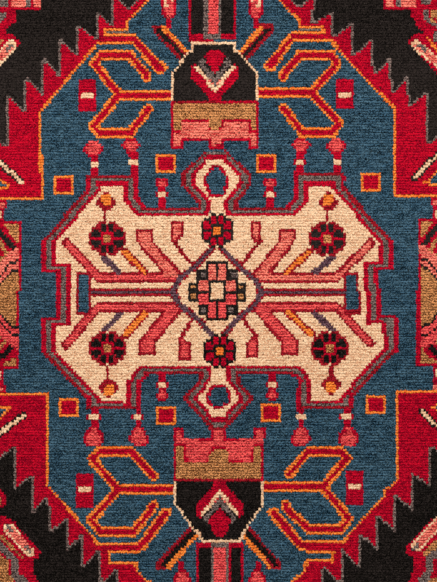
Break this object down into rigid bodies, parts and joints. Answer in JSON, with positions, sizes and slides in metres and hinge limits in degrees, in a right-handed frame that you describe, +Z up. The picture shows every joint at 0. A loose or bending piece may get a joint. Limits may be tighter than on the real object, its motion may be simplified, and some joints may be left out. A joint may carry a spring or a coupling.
{
  "type": "hand-knotted rug panel, cut length",
  "caption": "Flat cut length of a hand-knotted wool pile rug with a geometric village pattern, to lay on a floor, shelf or table.",
  "frame": {"origin": "centre of the flat underside, on the surface that the rug lies on", "axes": "+Z up through the pile; +Y along the rug's length, the way its warps run; +X across it, along the rows of knots"},
  "size_m": [0.455, 0.6003, 0.01],
  "materials": {
    "rug_wool": "cut wool pile"
  },
  "bodies": {
    "root": {"rug": "rug_wool"}
  },
  "joints": []
}
